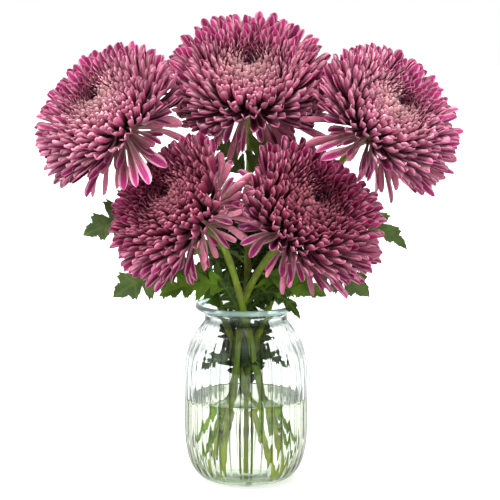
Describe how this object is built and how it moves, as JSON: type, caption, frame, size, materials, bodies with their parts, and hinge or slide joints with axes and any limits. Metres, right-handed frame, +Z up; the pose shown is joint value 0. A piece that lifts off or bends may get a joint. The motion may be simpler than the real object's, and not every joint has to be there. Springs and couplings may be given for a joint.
{
  "type": "chrysanthemums in a jar",
  "caption": "Pink disbud chrysanthemums with lobed leaves, standing in a ribbed clear glass jar half filled with water.",
  "frame": {"origin": "centre of the jar's flat base, on the surface it stands on", "axes": "+Z up along the jar, -Y towards the front of the bouquet, +X to the right seen from the front"},
  "size_m": [0.3418, 0.2046, 0.3709],
  "materials": {
    "jar_glass": "polished",
    "water": "polished",
    "greenery": "satin",
    "petals": "matte"
  },
  "bodies": {
    "root": {"jar": "jar_glass", "water": "water", "stem_1": "greenery", "stem_2": "greenery", "stem_3": "greenery", "stem_4": "greenery", "stem_5": "greenery", "bloom_1": "petals", "bloom_2": "petals", "bloom_3": "petals", "bloom_4": "petals", "bloom_5": "petals"}
  },
  "joints": []
}
